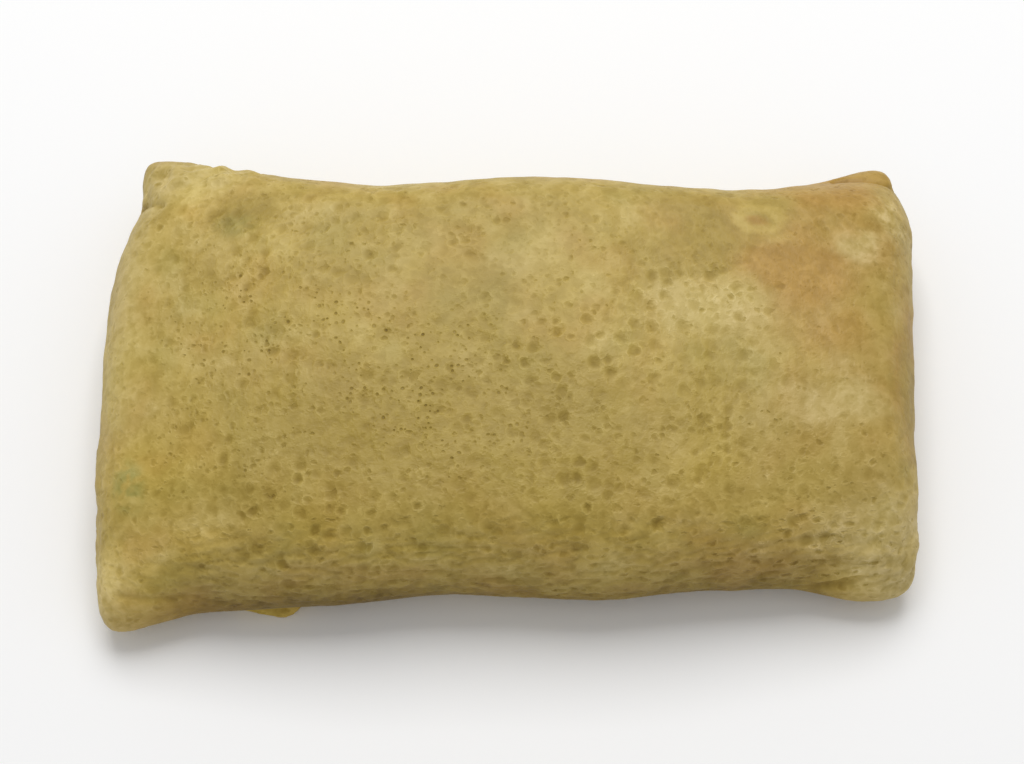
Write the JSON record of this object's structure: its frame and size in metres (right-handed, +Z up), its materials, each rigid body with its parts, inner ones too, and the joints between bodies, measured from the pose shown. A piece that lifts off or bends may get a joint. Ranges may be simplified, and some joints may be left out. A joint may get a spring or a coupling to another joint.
{
  "type": "folded crepe",
  "caption": "Thin pancake folded into a flat oblong parcel round a filling, with tucked ends, soft corner ears and its last flap laid underneath.",
  "frame": {"origin": "on the surface that the parcel rests on, under the middle of its outline", "axes": "+X along the parcel's length to the end with the small tab, +Y to its back, +Z up"},
  "size_m": [0.131, 0.079, 0.0259],
  "materials": {
    "crepe": "soft, slightly moist pancake with shallow pits and pale bubbles"
  },
  "bodies": {
    "root": {"folded_crepe": "crepe"}
  },
  "joints": []
}
